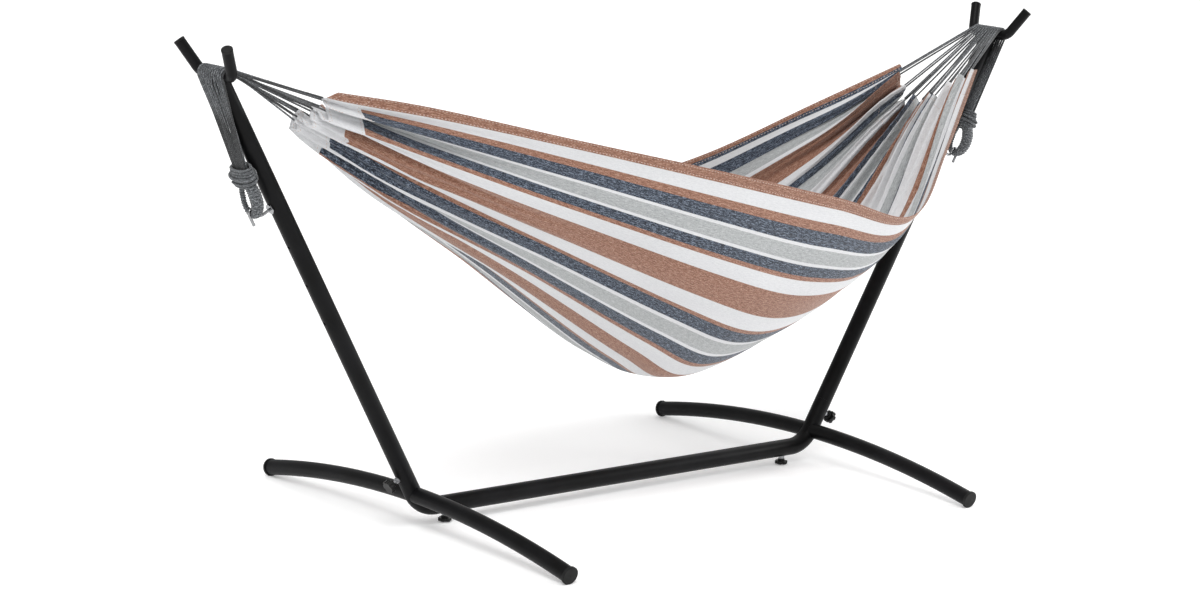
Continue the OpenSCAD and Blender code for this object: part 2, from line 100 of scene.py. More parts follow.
# Rows of the cloth from the left end to the right one, each from the near hem over the
# near wall, the lowest line and the far wall to the far hem.
BED = np.array(
    [
        [
            [-0.993, -0.100, 1.040], [-1.018, -0.070, 1.000], [-1.038, -0.005, 0.965],
            [-0.970, 0.050, 0.962], [-0.865, 0.105, 0.985],
        ],
        [
            [-0.780, -0.185, 1.005], [-0.790, -0.150, 0.880], [-0.780, 0.000, 0.785],
            [-0.740, 0.135, 0.813], [-0.690, 0.220, 0.880],
        ],
        [
            [-0.450, -0.290, 0.930], [-0.450, -0.245, 0.730], [-0.430, 0.015, 0.580],
            [-0.420, 0.260, 0.645], [-0.420, 0.365, 0.740],
        ],
        [
            [-0.060, -0.365, 0.844], [-0.060, -0.310, 0.570], [-0.070, 0.015, 0.338],
            [-0.060, 0.340, 0.480], [-0.060, 0.440, 0.655],
        ],
        [
            [0.300, -0.385, 0.761], [0.250, -0.300, 0.485], [0.150, 0.015, 0.275],
            [0.230, 0.350, 0.440], [0.260, 0.435, 0.665],
        ],
        [
            [0.610, -0.340, 0.690], [0.530, -0.255, 0.535], [0.570, 0.015, 0.420],
            [0.540, 0.290, 0.550], [0.540, 0.345, 0.745],
        ],
        [
            [0.800, -0.262, 0.830], [0.765, -0.190, 0.690], [0.760, 0.005, 0.590],
            [0.760, 0.160, 0.710], [0.780, 0.195, 0.885],
        ],
        [
            [0.985, -0.180, 1.025], [1.000, -0.110, 0.965], [0.965, 0.000, 0.925],
            [0.945, 0.035, 0.955], [0.965, 0.055, 1.005],
        ],
    ]
)
LAST_ROW, FAR_HEM = BED.shape[0] - 1, BED.shape[1] - 1

# The cloth's flat size, its thickness, and how many tongues each end is drawn into. A hem's
# width is a share of the cloth's. The left end's casing is a length.
CLOTH_WIDTH, CLOTH_LENGTH, CLOTH_T = 1.4, 2.3, 0.0014
TONGUES = 12
HEM_SHARE, CASING = 0.022, 0.085
CLOTH_ROWS, CLOTH_COLUMNS = 170, 290

# Stitched seams: along the cloth at shares of its width, and across it at distances from the
# left end, or from the right end when negative.
HEM_SEAMS = (0.0035, 0.0175, 1 - 0.0175, 1 - 0.0035)
CASING_SEAMS = (0.012, 0.083, -0.083, -0.012)

# Stripes from the near hem to the far hem: colour and share of the cloth's width.
STRIPES = (
    ("brown", 0.022), ("white", 0.028), ("brown", 0.017), ("navy", 0.027), ("white", 0.006),
    ("grey", 0.028), ("white", 0.006), ("navy", 0.021), ("brown", 0.009), ("white", 0.030),
    ("brown", 0.062), ("white", 0.040), ("brown", 0.009), ("navy", 0.028), ("white", 0.008),
    ("grey", 0.036), ("white", 0.008), ("navy", 0.030), ("brown", 0.011), ("white", 0.036),
    ("brown", 0.042), ("white", 0.036), ("brown", 0.010), ("navy", 0.028), ("white", 0.008),
    ("grey", 0.036), ("white", 0.008), ("navy", 0.028), ("brown", 0.040), ("white", 0.030),
    ("grey", 0.044), ("navy", 0.024), ("white", 0.030), ("brown", 0.070), ("white", 0.012),
    ("grey", 0.032), ("navy", 0.036), ("white", 0.018), ("navy", 0.012), ("brown", 0.012),
)

# ---------- small tools ----------


def noise(shape, seed):
    """Random values between -1 and 1 in an array of this shape."""
    return np.random.default_rng(seed).uniform(-1, 1, shape)


def smooth_noise(u, v, seed):
    """Value noise at points u, v in cells, with smooth steps between the cells' values."""
    table = noise((64, 64), seed)
    i, j = np.floor(u).astype(int), np.floor(v).astype(int)
    fu, fv = u - i, v - j
    fu, fv = fu * fu * (3 - 2 * fu), fv * fv * (3 - 2 * fv)
    at = lambda a, b: table[a % 64, b % 64]
    low = at(i, j) * (1 - fv) + at(i, j + 1) * fv
    high = at(i + 1, j) * (1 - fv) + at(i + 1, j + 1) * fv
    return low * (1 - fu) + high * fu


def smooth_step(x, low, high):
    t = np.clip((x - low) / (high - low), 0, 1)
    return t * t * (3 - 2 * t)


def along_list(points, s):
    """Catmull-Rom values at parameters s along the first axis of points, straight on past both ends."""
    s = np.atleast_1d(np.asarray(s, float))
    last = len(points) - 1
    padded = np.concatenate([[2 * points[0] - points[1]], points, [2 * points[-1] - points[-2]]])
    i = np.clip(np.floor(s).astype(int), 0, last - 1)
    t = (s - i).reshape((-1,) + (1,) * (points.ndim - 1))
    a, b, c, d = (padded[i + k] for k in range(4))
    square, cube = 2 * a - 5 * b + 4 * c - d, 3 * b - a - 3 * c + d
    return 0.5 * (2 * b + (c - a) * t + square * t**2 + cube * t**3)


def unit(v):
    return v / np.maximum(np.linalg.norm(v, axis=-1, keepdims=True), 1e-12)


def mesh_object(name, points, faces, materials, face_material=None, uv=None):
    """A mesh piece from arrays of points and faces, with a UV pair for each point."""
    mesh = bpy.data.meshes.new(name)
    mesh.from_pydata(np.asarray(points, float).tolist(), [], np.asarray(faces).tolist())
    for m in materials:
        mesh.materials.append(m)
    if face_material is not None:
        mesh.polygons.foreach_set("material_index", np.asarray(face_material, np.int32).ravel())
    if uv is not None:
        layer = mesh.uv_layers.new(name="UVMap")
        loops = np.zeros(len(mesh.loops), np.int32)
        mesh.loops.foreach_get("vertex_index", loops)
        layer.data.foreach_set("uv", np.asarray(uv, np.float32)[loops].ravel())
    mesh.shade_smooth()
    mesh.update()
    piece = bpy.data.objects.new(name, mesh)
    bpy.context.scene.collection.objects.link(piece)
    return piece


def grid_faces(rows, columns, closed=False):
    """Quads of a grid of points; a closed grid joins its last column to its first."""
    across = np.arange(columns if closed else columns - 1)
    i, j = np.meshgrid(np.arange(rows - 1), across, indexing="ij")
    k = (j + 1) % columns
    low, high = i * columns, (i + 1) * columns
    return np.stack([low + j, low + k, high + k, high + j], -1).reshape(-1, 4)


def resample(line, step):
    """The line through these points again, with points about step apart."""
    line = np.asarray(line, float)
    at = np.concatenate([[0], np.cumsum(np.linalg.norm(np.diff(line, axis=0), axis=1))])
    wanted = np.linspace(0, at[-1], max(2, math.ceil(at[-1] / step) + 1))
    return np.stack([np.interp(wanted, at, line[:, k]) for k in range(3)], 1)


def rounded(line, times=2):
    """The line with its corners cut, by Chaikin's method, and its two ends kept."""
    for _ in range(times):
        a, b = line[:-1], line[1:]
        cut = np.stack([0.75 * a + 0.25 * b, 0.25 * a + 0.75 * b], 1).reshape(-1, line.shape[1])
        line = np.concatenate([line[:1], cut, line[-1:]])
    return line


def frames_along(line):
    """Two unit vectors square to the line at each of its points, turned as little as possible."""
    tangent = unit(np.gradient(line, axis=0))
    side = np.zeros_like(line)
    first = np.cross(tangent[0], (0.3, 1.0, 0.2))
    side[0] = unit(first)
    for i in range(1, len(line)):
        side[i] = unit(side[i - 1] - tangent[i] * np.dot(side[i - 1], tangent[i]))
    return side, np.cross(tangent, side)


def rope_rings(line, radius, lobes=3, pitch=0.016, sides=12, depth=0.16, phase=0.0):
    """Rings of a laid rope: a round section with lobes that turn along the line."""
    side, other = frames_along(line)
    at = np.concatenate([[0], np.cumsum(np.linalg.norm(np.diff(line, axis=0), axis=1))])
    angle = 2 * math.pi * np.arange(sides) / sides
    turn = 2 * math.pi * at / pitch + phase
    swell = 1 - depth * (0.5 - 0.5 * np.cos(lobes * (angle[None, :] - turn[:, None])))
    r = radius * swell
    rings = (
        line[:, None]
        + (r * np.cos(angle))[..., None] * side[:, None]
        + (r * np.sin(angle))[..., None] * other[:, None]
    )
    uv = np.stack(np.broadcast_arrays(at[:, None], (angle * radius)[None, :]), -1)
    return rings.reshape(-1, 3), uv.reshape(-1, 2)


def tube_arrays(line, radius, **shape):
    """Points, faces and UVs of a closed rope along a line."""
    sides = shape.get("sides", 12)
    points, uv = rope_rings(line, radius, **shape)
    faces = grid_faces(len(line), sides, closed=True)
    ends = np.array([line[0], line[-1]])
    n = len(points)
    fans = []
    for centre, start in ((n, 0), (n + 1, n - sides)):
        for k in range(sides):
            pair = (start + k, start + (k + 1) % sides)
            fans.append((centre, *(pair[::-1] if start == 0 else pair)))
    corners = [f.tolist() for f in faces] + [list(f) for f in fans]
    return np.concatenate([points, ends]), corners, np.concatenate([uv, np.zeros((2, 2))])


def joined(parts):
    """Several (points, faces, uv) as one."""
    points, faces, uvs, n = [], [], [], 0
    for p, f, t in parts:
        points.append(p)
        uvs.append(t)
        faces += [[k + n for k in face] for face in f]
        n += len(p)
    return np.concatenate(points), faces, np.concatenate(uvs)


def poly_object(name, parts, materials, part_material=None):
    """One piece from several (points, faces, uv), whose faces may have 3 or more corners."""
    points, faces, uv = joined(parts)
    mesh = bpy.data.meshes.new(name)
    mesh.from_pydata(points.tolist(), [], faces)
    for m in materials:
        mesh.materials.append(m)
    layer = mesh.uv_layers.new(name="UVMap")
    loops = np.zeros(len(mesh.loops), np.int32)
    mesh.loops.foreach_get("vertex_index", loops)
    layer.data.foreach_set("uv", uv.astype(np.float32)[loops].ravel())
    if part_material is not None:
        index = np.repeat(part_material, [len(f) for _, f, _ in parts])
        mesh.polygons.foreach_set("material_index", index.astype(np.int32))
    mesh.shade_smooth()
    mesh.update()
    piece = bpy.data.objects.new(name, mesh)
    bpy.context.scene.collection.objects.link(piece)
    return piece


# ---------- materials ----------


class Shader:
    """A Principled material with short ways to add the nodes that drive it."""

    def __init__(self, name, base, roughness, **sockets):
        self.material = bpy.data.materials.new(name)
        self.material.use_nodes = True
        self.tree = self.material.node_tree
        self.main = self.tree.nodes["Principled BSDF"]
        self.main.inputs["Base Color"].default_value = (*base, 1)
        self.main.inputs["Roughness"].default_value = roughness
        for socket, value in sockets.items():
            self.main.inputs[socket.replace("_", " ")].default_value = value

    def node(self, kind, **values):
        made = self.tree.nodes.new(kind)
        for key, value in values.items():
            if key in made.inputs:
                made.inputs[key].default_value = value
            else:
                setattr(made, key, value)
        return made

    def link(self, out, into):
        self.tree.links.new(out, into)

    def coordinates(self, kind="Object", scale=(1, 1, 1)):
        source = self.node("ShaderNodeTexCoord")
        mapping = self.node("ShaderNodeMapping")
        mapping.inputs["Scale"].default_value = scale
        self.link(source.outputs[kind], mapping.inputs["Vector"])
        return mapping.outputs["Vector"]

    def noise(self, vector, scale, detail=2.0, rough=0.5):
        made = self.node("ShaderNodeTexNoise", Scale=scale, Detail=detail, Roughness=rough)
        self.link(vector, made.inputs["Vector"])
        return made.outputs["Fac"]

    def ramp(self, factor, stops):
        made = self.node("ShaderNodeValToRGB")
        elements = made.color_ramp.elements
        for element, (place, colour) in zip(elements, stops[:2]):
            element.position, element.color = place, (*colour, 1)
        for place, colour in stops[2:]:
            elements.new(place).color = (*colour, 1)
        self.link(factor, made.inputs["Fac"])
        return made.outputs["Color"]

    def span(self, factor, low, high, start=0.0, end=1.0):
        made = self.node("ShaderNodeMapRange")
        for key, value in (("From Min", start), ("From Max", end), ("To Min", low), ("To Max", high)):
            made.inputs[key].default_value = value
        self.link(factor, made.inputs["Value"])
        return made.outputs["Result"]

    def mix(self, factor, a, b, blend="MIX"):
        made = self.node("ShaderNodeMix", data_type="RGBA", blend_type=blend)
        for value, socket in ((factor, made.inputs[0]), (a, made.inputs[6]), (b, made.inputs[7])):
            if isinstance(value, bpy.types.NodeSocket):
                self.link(value, socket)
            else:
                socket.default_value = value if isinstance(value, float) else (*value, 1)
        return made.outputs[2]

    def maths(self, operation, a, b=0.0):
        made = self.node("ShaderNodeMath", operation=operation)
        for value, socket in ((a, made.inputs[0]), (b, made.inputs[1])):
            if isinstance(value, bpy.types.NodeSocket):
                self.link(value, socket)
            else:
                socket.default_value = value
        return made.outputs[0]

    def bump(self, height, distance, strength=1.0):
        made = self.node("ShaderNodeBump", Strength=strength, Distance=distance)
        self.link(height, made.inputs["Height"])
        previous = self.main.inputs["Normal"].links
        if previous:
            self.link(previous[0].from_socket, made.inputs["Normal"])
        self.link(made.outputs["Normal"], self.main.inputs["Normal"])

    def colour(self, socket):
        self.link(socket, self.main.inputs["Base Color"])

    def roughness(self, socket):
        self.link(socket, self.main.inputs["Roughness"])


def powder_coat():
    s = Shader("powder_coat", (0.004, 0.004, 0.004), 0.36, Specular_IOR_Level=0.11)
    at = s.coordinates()
    grain, cloud = s.noise(at, 900, 2), s.noise(at, 9, 3)
    s.colour(s.ramp(cloud, [(0.3, (0.003, 0.003, 0.003)), (0.7, (0.007, 0.007, 0.008))]))
    s.roughness(s.span(cloud, 0.34, 0.46))
    s.bump(grain, 0.00012, 0.5)
    return s.material


def moulded(name, base, low, high):
    s = Shader(name, base, low, Specular_IOR_Level=0.2)
    at = s.coordinates()
    grain = s.noise(at, 700, 3)
    dust = s.noise(at, 60, 2)
    lighter = tuple(x * 1.5 + 0.004 for x in base)
    s.colour(s.ramp(dust, [(0.35, base), (0.8, lighter)]))
    s.roughness(s.span(grain, low, high))
    s.bump(grain, 0.00015, 0.6)
    return s.material


def plated(name, base, low, high, scratch):
    s = Shader(name, base, low, Metallic=1.0)
    at = s.coordinates(scale=(1, 1, 0.12))
    streak = s.noise(at, scratch, 4, 0.6)
    cloud = s.noise(s.coordinates(), 90, 3)
    s.colour(s.ramp(cloud, [(0.3, tuple(x * 0.82 for x in base)), (0.7, base)]))
    s.roughness(s.span(streak, low, high, 0.3, 0.7))
    s.bump(streak, 0.00004, 0.5)
    return s.material


def yarn(name, dark, middle, light, fleck=1.0):
    """Woven cotton: mottled yarn along the stripes, crossed by finer weft, with UVs in metres."""
    s = Shader(name, middle, 0.9, Sheen_Weight=0.25, Sheen_Roughness=0.5)
    warp = s.noise(s.coordinates("UV", (70, 330, 1)), 1.0, 4, 0.7)
    weft = s.noise(s.coordinates("UV", (240, 520, 1)), 1.0, 3, 0.7)
    slow = s.noise(s.coordinates("UV", (3, 14, 1)), 1.0, 2)
    fleck_at = s.maths("ADD", s.maths("MULTIPLY", warp, 0.55), s.maths("MULTIPLY", weft, 0.45))
    spread = 0.10 / fleck
    mottled = s.ramp(fleck_at, [(0.5 - spread, dark), (0.5 + spread, light), (0.5, middle)])
    shade = s.ramp(slow, [(0.3, (0.93, 0.93, 0.93)), (0.7, (1.0, 1.0, 1.0))])
    s.colour(s.mix(1.0, mottled, shade, "MULTIPLY"))
    weave = s.node("ShaderNodeTexWave", wave_type="BANDS", bands_direction="X", Scale=1.0)
    s.link(s.coordinates("UV", (180, 180, 1)), weave.inputs["Vector"])
    ribs = s.node("ShaderNodeTexWave", wave_type="BANDS", bands_direction="Y", Scale=1.0)
    s.link(s.coordinates("UV", (260, 260, 1)), ribs.inputs["Vector"])
    height = s.maths("ADD", weave.outputs["Fac"], ribs.outputs["Fac"])
    s.bump(height, 0.00035, 0.5)
    s.bump(fleck_at, 0.0008, 0.5)
    return s.material


def rope_yarn(name, shade):
    tone = lambda *colour: tuple(shade * c for c in colour)
    s = Shader(name, tone(0.055, 0.060, 0.065), 0.92, Sheen_Weight=0.2, Sheen_Roughness=0.6)
    at = s.coordinates("UV", (200, 380, 1))
    fleck = s.noise(at, 1.0, 3, 0.7)
    dark, middle = tone(0.018, 0.020, 0.022), tone(0.060, 0.065, 0.070)
    light = tone(0.230, 0.240, 0.255)
    s.colour(s.ramp(fleck, [(0.38, dark), (0.64, light), (0.5, middle)]))
    s.bump(s.noise(s.coordinates("UV", (900, 900, 1)), 1.0, 2), 0.0006, 0.8)
    return s.material


BLACK = powder_coat()
CAP = moulded("cap_moulding", (0.006, 0.006, 0.006), 0.42, 0.60)
KNOB = moulded("knob_moulding", (0.006, 0.006, 0.006), 0.28, 0.45)
ZINC = plated("zinc_plating", (0.34, 0.345, 0.36), 0.24, 0.42, 300)
BRIGHT = plated("bright_wire", (0.34, 0.345, 0.355), 0.14, 0.30, 400)
ROPE = rope_yarn("rope_yarn", 1.15)
# A darker copy of the rope yarn for the lower layer of cords: painted shade between the layers.
ROPE_PAINTED_SHADE = rope_yarn("rope_yarn_painted_shade", 0.30)
CLOTHS = {
    "brown": yarn(
        "cloth_brown", (0.150, 0.060, 0.036), (0.290, 0.132, 0.082), (0.490, 0.305, 0.225)
    ),
    "white": yarn(
        "cloth_white", (0.560, 0.565, 0.580), (0.690, 0.695, 0.710), (0.800, 0.800, 0.805), 0.5
    ),
    "navy": yarn(
        "cloth_navy", (0.005, 0.007, 0.012), (0.026, 0.036, 0.058), (0.240, 0.290, 0.370)
    ),
    "grey": yarn(
        "cloth_grey", (0.270, 0.280, 0.285), (0.400, 0.415, 0.420), (0.580, 0.590, 0.590), 0.8
    ),
}
COLOURS = list(CLOTHS)
CAD_FINISH = {
    "black_steel": BLACK,
    "cap_plastic": CAP,
    "knob_plastic": KNOB,
    "zinc_steel": ZINC,
    "hook_steel": BRIGHT,
    "rope": ROPE,
    "cloth": CLOTHS["white"],
}


def finish_cad_nodes():
    for part in frame["record"]["subparts"]:
        node = frame["nodes"][part["node"]]
        node.data.materials.clear()
        node.data.materials.append(CAD_FINISH[part["material_slot"]])


finish_cad_nodes()

# ---------- cloth ----------


def smooth_bed(u, v):
    """Points of the plain surface at every pair of row parameters u and cross parameters v."""
    rows = np.stack([along_list(row, v) for row in BED])
    return along_list(rows, u)


class Bed:
    """The cloth's surface by length parameter u, from 0 to LAST_ROW, and share s of its width."""

    def __init__(self):
        self.u = np.linspace(0, LAST_ROW, 40 * LAST_ROW + 1)
        self.v = np.linspace(0, FAR_HEM, 50 * FAR_HEM + 1)
        self.points = smooth_bed(self.u, self.v)
        steps = np.linalg.norm(np.diff(self.points, axis=1), axis=2)
        run = np.concatenate([np.zeros((len(self.u), 1)), np.cumsum(steps, 1)], 1)
        self.width = run[:, -1]
        self.share = run / self.width[:, None]

    def at(self, u, s):
        """Points at each pair of arrays u and s of the same shape."""
        v = np.empty_like(s)
        last = len(self.u) - 1
        k = np.clip((u / LAST_ROW * last).round().astype(int), 0, last)
        for row in np.unique(k):
            mask = k == row
            v[mask] = np.interp(s[mask], self.share[row], self.v)
        inside = np.clip(u, 0, LAST_ROW)
        fu = inside / LAST_ROW * last
        fv = v / FAR_HEM * (len(self.v) - 1)
        i, j = np.minimum(fu.astype(int), last - 1), np.minimum(fv.astype(int), len(self.v) - 2)
        a, b = (fu - i)[..., None], (fv - j)[..., None]
        p = self.points
        this_row = p[i, j] * (1 - b) + p[i, j + 1] * b
        next_row = p[i + 1, j] * (1 - b) + p[i + 1, j + 1] * b
        beyond = (u - inside)[..., None]
        ahead = np.where(beyond < 0, p[1, j] - p[0, j], p[-1, j] - p[-2, j])
        return this_row * (1 - a) + next_row * a + beyond * ahead * last / LAST_ROW


bed = Bed()


def stripe_columns(between):
    """Width shares of the mesh's columns, with one on each stripe's edge, and each column's colour."""
    shares, colours, at = [0.0], [], 0.0
    total = sum(w for _, w in STRIPES)
    for colour, w in STRIPES:
        w /= total
        n = max(2, round(w * between))
        shares += [at + w * (k + 1) / n for k in range(n)]
        colours += [COLOURS.index(colour)] * n
        at += w
    return np.array(shares), np.array(colours)


def place_share(m, u):
    """Share of the surface's width at which share m of the cloth lies. The double hems aren't
    drawn together at the ends. At the left end the near side's stripes spread further round."""
    ends = np.maximum(1 - smooth_step(u, 0, 2.4), smooth_step(u, 5.2, LAST_ROW)) ** 1.4
    wide = 0.034 * ends
    near = wide * smooth_step(m, 0, HEM_SHARE) * (1 - smooth_step(m, HEM_SHARE, 0.25))
    far = wide * smooth_step(1 - m, 0, HEM_SHARE) * (1 - smooth_step(1 - m, HEM_SHARE, 0.25))
    left = 0.115 * (1 - smooth_step(u, 0.8, 3.0))
    lean_over = left * smooth_step(m, 0.0, 0.62) * (1 - smooth_step(m, 0.60, 1.0))
    return m + near - far + lean_over


def end_offset(s, side):
    """How far each tongue's end stands in from the row's end, in metres."""
    t = s * TONGUES
    k = np.minimum(np.floor(t).astype(int), TONGUES - 1)
    stagger = np.random.default_rng(5 + side).uniform(0.0, 0.045, TONGUES)[k]
    stagger = np.where((k == 0) | (k == TONGUES - 1), 0.004, stagger)
    across = 2 * (t - k) - 1
    return stagger + 0.024 * np.abs(across) ** 1.8


def pleats(u, s, width):
    """Height of the folds above the plain surface, in metres. They are deep at both ends, where
    the cloth is drawn together, and fade towards the middle."""
    left, right = 1 - smooth_step(u, 0.0, 3.2), smooth_step(u, 4.6, LAST_ROW)
    near_end = np.maximum(left, right)
    wander = 0.22 * smooth_noise(u * 0.9, s * 9 + 3, 11)
    tongue = width / TONGUES
    big = np.cos(2 * math.pi * (s * TONGUES + wander * (1 - near_end)))
    fine = np.cos(2 * math.pi * (3 * s * TONGUES + 0.5 + 0.4 * smooth_noise(u * 1.3, s * 20, 12)))
    strength = 0.75 + 0.45 * smooth_noise(u * 0.6, s * TONGUES, 13)
    rise = (0.30 * near_end**1.6 + 0.42 * near_end**6) * tongue * strength
    soft = 0.0060 * smooth_noise(u * 0.8, s * 26, 14) * (0.35 + 0.65 * near_end)
    broad = 0.007 * smooth_noise(u * 0.45, s * 11, 15)
    return rise * (1 - big) + 0.20 * tongue * near_end**3 * fine + soft + broad


def make_cloth():
    """The cloth piece, its points by row and column, each point's distance from the left end
    along its column, and each column's share of the width."""
    shares, column_colour = stripe_columns(CLOTH_COLUMNS)
    t = np.linspace(0, 1, CLOTH_ROWS)
    lengthwise = np.clip(LAST_ROW * (t - 0.035 * np.sin(2 * math.pi * t)), 0, LAST_ROW)
    u, s = np.meshgrid(lengthwise, shares, indexing="ij")
    step = 0.01
    ends = smooth_bed([0, step, LAST_ROW - step, LAST_ROW], [2.0])[:, 0]
    speed_left = np.linalg.norm(ends[1] - ends[0]) / step
    speed_right = np.linalg.norm(ends[3] - ends[2]) / step
    u = u + end_offset(s, 0) / speed_left * (1 - smooth_step(u, 0, 1.2))
    u = u - end_offset(s, 1) / speed_right * smooth_step(u, 5.8, LAST_ROW)
    base = bed.at(u, place_share(s, u))
    normal = unit(np.cross(np.gradient(base, axis=0), np.gradient(base, axis=1)))
    width = np.interp(u, bed.u, bed.width)
    lift = pleats(u, s, width)
    hem = np.minimum(s, 1 - s) * CLOTH_WIDTH
    lift = lift * (0.12 + 0.88 * smooth_step(hem, 0.02, 0.16))
    points = base + lift[..., None] * normal
    steps = np.linalg.norm(np.diff(base, axis=0), axis=2)
    length = np.concatenate([np.zeros((1, len(shares))), np.cumsum(steps, 0)])
    colour = np.broadcast_to(column_colour, (CLOTH_ROWS - 1, len(column_colour))).copy()
    casing = length[:-1, :-1] < CASING
    inside = (shares[:-1] > HEM_SHARE) & (shares[1:] < 1 - HEM_SHARE)
    colour[casing & inside[None, :]] = COLOURS.index("white")
    uv = np.stack([length, s * CLOTH_WIDTH], -1)
    cloth = mesh_object(
        "bed_cloth",
        points.reshape(-1, 3),
        grid_faces(CLOTH_ROWS, len(shares)),
        list(CLOTHS.values()),
        colour.ravel(),
        uv.reshape(-1, 2),
    )
    solid = cloth.modifiers.new("thickness", "SOLIDIFY")
    solid.thickness, solid.offset = CLOTH_T, 0
    return cloth, points, length, shares


cloth, cloth_points, cloth_length, cloth_shares = make_cloth()
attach(cloth, "hammock")
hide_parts("bed_fabric")

# ---------- seams ----------


def seam_line(lengthwise, place):
    """Points of a seam on the cloth: along it at a share of its width, or across it at a distance
    from the left end, or from the right end when that is negative."""
    if lengthwise:
        column = int(np.argmin(np.abs(cloth_shares - place)))
        return cloth_points[:, column], np.gradient(cloth_points, axis=1)[:, column]
    wanted = place + (cloth_length[-1] if place < 0 else np.zeros(len(cloth_shares)))
    line, across = [], []
    for k, distance in enumerate(wanted):
        row = int(np.argmin(np.abs(cloth_length[:, k] - distance)))
        line.append(cloth_points[row, k])
        across.append(cloth_points[min(row + 1, len(cloth_points) - 1), k] - cloth_points[row - 1, k])
    return np.array(line), np.array(across)


def stitches(line, across, long, gap, half_w, half_t):
    """Short raised stitches through the cloth, along a seam."""
    at = np.concatenate([[0], np.cumsum(np.linalg.norm(np.diff(line, axis=0), axis=1))])
    starts = np.arange(gap, at[-1] - long, long + gap)
    pick = lambda values, where: np.stack([np.interp(where, at, values[:, k]) for k in range(3)], 1)
    a, b = pick(line, starts), pick(line, starts + long)
    along = unit(b - a)
    side = pick(across, starts)
    side = unit(side - along * (side * along).sum(1)[:, None])
    up = np.cross(along, side)
    ring = ((1, 0), (0.6, 0.8), (-0.6, 0.8), (-1, 0), (-0.6, -0.8), (0.6, -0.8))
    parts = []
    for p, q, w, h, d in zip(a, b, side, up, along):
        rings = [p]
        rings += [p + 0.2 * long * d + x * half_w * w + y * half_t * h for x, y in ring]
        rings += [q - 0.2 * long * d + x * half_w * w + y * half_t * h for x, y in ring]
        rings.append(q)
        n = len(ring)
        faces = [[0, 1 + (k + 1) % n, 1 + k] for k in range(n)]
        faces += [[1 + k, 1 + (k + 1) % n, 1 + n + (k + 1) % n, 1 + n + k] for k in range(n)]
        faces += [[1 + n + k, 1 + n + (k + 1) % n, 1 + 2 * n] for k in range(n)]
        parts.append((np.array(rings), faces, np.zeros((2 * n + 2, 2))))
    return parts


def make_seams():
    parts = []
    for place in HEM_SEAMS:
        line = seam_line(True, place)
        parts += stitches(*line, long=0.0050, gap=0.0035, half_w=0.0009, half_t=0.0016)
    for place in CASING_SEAMS:
        line = seam_line(False, place)
        parts += stitches(*line, long=0.0045, gap=0.0030, half_w=0.0008, half_t=0.0015)
    thread = Shader("seam_thread", (0.58, 0.46, 0.40), 0.85).material
    seams = poly_object("seam_stitches", parts, [thread])
    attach(seams, "hammock")
    return seams


seam_stitches = make_seams()

# ---------- ropes ----------


def spoke(angle):
    """Unit vector at an angle in the XZ plane, for one or many angles."""
    return np.stack([np.cos(angle), np.zeros_like(angle), np.sin(angle)], -1)


def rope_point(p):
    """A point of the left rope's frame, in the stand's frame."""
    x = p[0] * math.cos(ROPE_LEAN) - p[2] * math.sin(ROPE_LEAN)
    z = p[0] * math.sin(ROPE_LEAN) + p[2] * math.cos(ROPE_LEAN)
    seat_x = -JUNCTION_X - RING_SEAT[0] * math.cos(LEAN) - RING_SEAT[1] * math.sin(LEAN)
    seat_z = JUNCTION_Z - RING_SEAT[0] * math.sin(LEAN) + RING_SEAT[1] * math.cos(LEAN)
    return np.array([seat_x + x, p[1], seat_z + z])


# The suspension cords: their radius, their spacing along the yoke bar and in the whipping, how
# far the upper layer lies above the lower, and the last place on the bar.
CORD_R = 0.0023
COLUMN_PITCH, BUNDLE_PITCH = 0.0078, 0.0032
LAYER_RISE = 0.0034
LAST_PLACE = 0.0445


def over_the_yoke(y, lift):
    """Route over the left yoke bar, from inboard of it towards the whipping, of a cord that lies
    lift above the bar."""
    reach = YOKE_R + CORD_R + lift
    rim_x = math.sqrt(max(TUBE_R**2 - max(abs(y) - CORD_R, 0) ** 2, 0))
    rim_d = math.hypot(rim_x, SADDLE)
    rim_a = math.pi + LEAN + math.atan2(SADDLE, rim_x)
    start, stop = math.radians(68), math.pi + HANG_LEAN
    wraps = rim_d * math.cos(rim_a - stop) > YOKE_R
    turn = rim_a - math.acos(YOKE_R / rim_d) if wraps else stop
    yoke = np.array([-YOKE_X, y, YOKE_Z])
    route = yoke + reach * spoke(np.linspace(start, turn, 9))
    if wraps:
        rim = yoke + rim_d * spoke(np.array(rim_a))
        route = np.concatenate([route, rim + (reach - YOKE_R) * spoke(np.linspace(turn, stop, 4))[1:]])
    return route


def cord_line(side, pair, which):
    """One suspension cord, from the cloth's end over the yoke to the whipping. The first cord of
    each pair lies on the yoke bar, and the second on top, between two of the first."""
    y = (pair - (TONGUES - 1) / 2 + (0.5 if which else 0)) * COLUMN_PITCH
    y = min(y, LAST_PLACE)
    lift = LAYER_RISE * which
    over = over_the_yoke(y, lift)
    row = 0 if side < 0 else -1
    share = (pair + (0.42 if which == 0 else 0.58)) / TONGUES
    column = int(np.argmin(np.abs(cloth_shares - share)))
    end = cloth_points[row, column]
    if side > 0:
        over = over * [-1, 1, 1]
    column_y = (y / COLUMN_PITCH) * BUNDLE_PITCH
    layer_x = 0.004 if which else -0.004
    foot = rope_point([layer_x, column_y, WHIP_BASE + WHIP_H * 0.7]) * [-side, 1, 1]
    inboard = over[0] + np.array([-side * 0.012, 0, -0.0045])
    to_yoke = [end, 0.55 * end + 0.45 * inboard, inboard]
    to_whipping = [0.75 * over[-1] + 0.25 * foot, foot]
    return np.concatenate([to_yoke, over, to_whipping])


